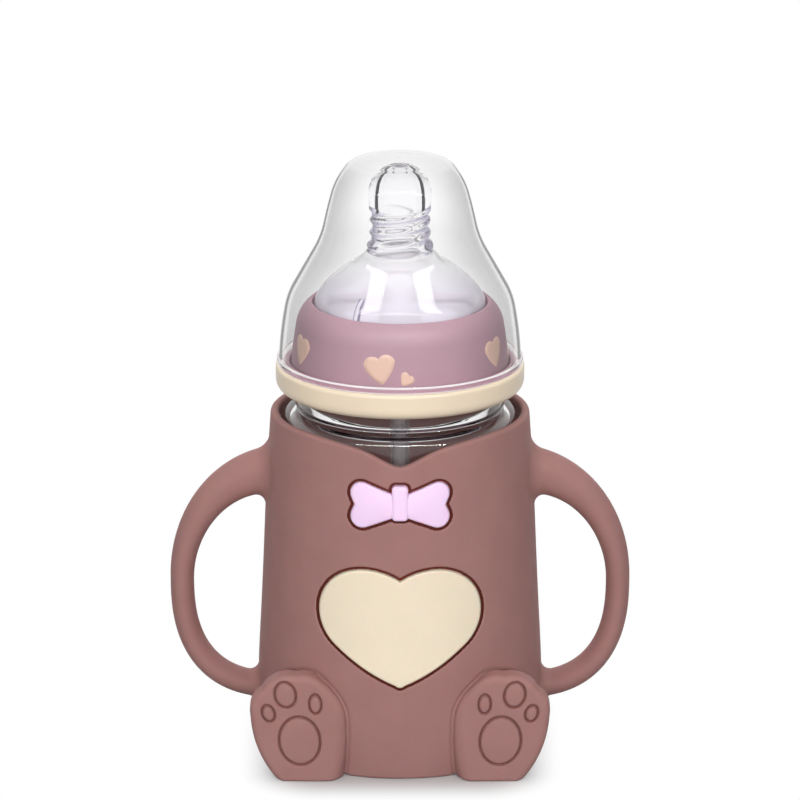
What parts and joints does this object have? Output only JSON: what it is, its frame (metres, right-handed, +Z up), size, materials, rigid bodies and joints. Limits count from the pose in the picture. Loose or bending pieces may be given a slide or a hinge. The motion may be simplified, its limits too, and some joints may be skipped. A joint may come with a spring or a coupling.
{
  "type": "baby bottle",
  "caption": "Wide-neck glass baby bottle in a handled silicone sleeve with paws, with a screw collar, spiral-necked nipple, weighted straw and clear dust cap.",
  "frame": {"origin": "centre of the sleeve's flat base, on the surface that the bottle stands on", "axes": "+Z up along the bottle's axis, +X to the right of the bow, -Y out of the front with the heart"},
  "size_m": [0.1188, 0.0731, 0.1549],
  "materials": {
    "sleeve_silicone": "matte",
    "cream_silicone": "matte",
    "pink_silicone": "satin",
    "bottle_glass": "clear",
    "collar_plastic": "matte",
    "ring_plastic": "satin",
    "cap_plastic": "clear gloss",
    "nipple_silicone": "translucent satin",
    "straw_silicone": "translucent satin",
    "frosted_plastic": "frosted",
    "steel": "ground"
  },
  "bodies": {
    "sleeve": {"silicone_sleeve": "sleeve_silicone", "heart_patch": "cream_silicone", "bow_tie": "pink_silicone"},
    "bottle": {"glass_bottle": "bottle_glass"},
    "insert": {"nipple": "nipple_silicone", "straw_adapter": "frosted_plastic", "straw_tube": "straw_silicone"},
    "collar": {"screw_collar": "collar_plastic", "trim_ring": "ring_plastic"},
    "cap": {"dust_cap": "cap_plastic"},
    "weight": {"weight_housing": "frosted_plastic", "steel_weight": "steel", "weight_end_cap": "frosted_plastic"}
  },
  "joints": [
    {"name": "bottle_lift", "type": "slide", "parent": "sleeve", "child": "bottle", "axis": [0, 0, 1], "range_m": [0, 0.09]},
    {"name": "collar_rise", "type": "slide", "parent": "bottle", "child": "insert", "axis": [0, 0, 1], "range_m": [0, 0.006]},
    {"name": "collar_turn", "type": "hinge", "parent": "insert", "child": "collar", "pos_m": [0, 0, 0.105], "axis": [0, 0, 1], "range_deg": [0, 540]},
    {"name": "cap_lift", "type": "slide", "parent": "collar", "child": "cap", "axis": [0, 0, 1], "range_m": [0, 0.06]},
    {"name": "weight_swing", "type": "hinge", "parent": "insert", "child": "weight", "pos_m": [0, 0, 0.1056], "axis": [0, 1, 0], "range_deg": [-11, 11], "deforming": ["straw_tube"]}
  ],
  "couplings": [
    {"joint": "collar_rise", "follows": "collar_turn", "m_per_rad": 0.00063662}
  ]
}
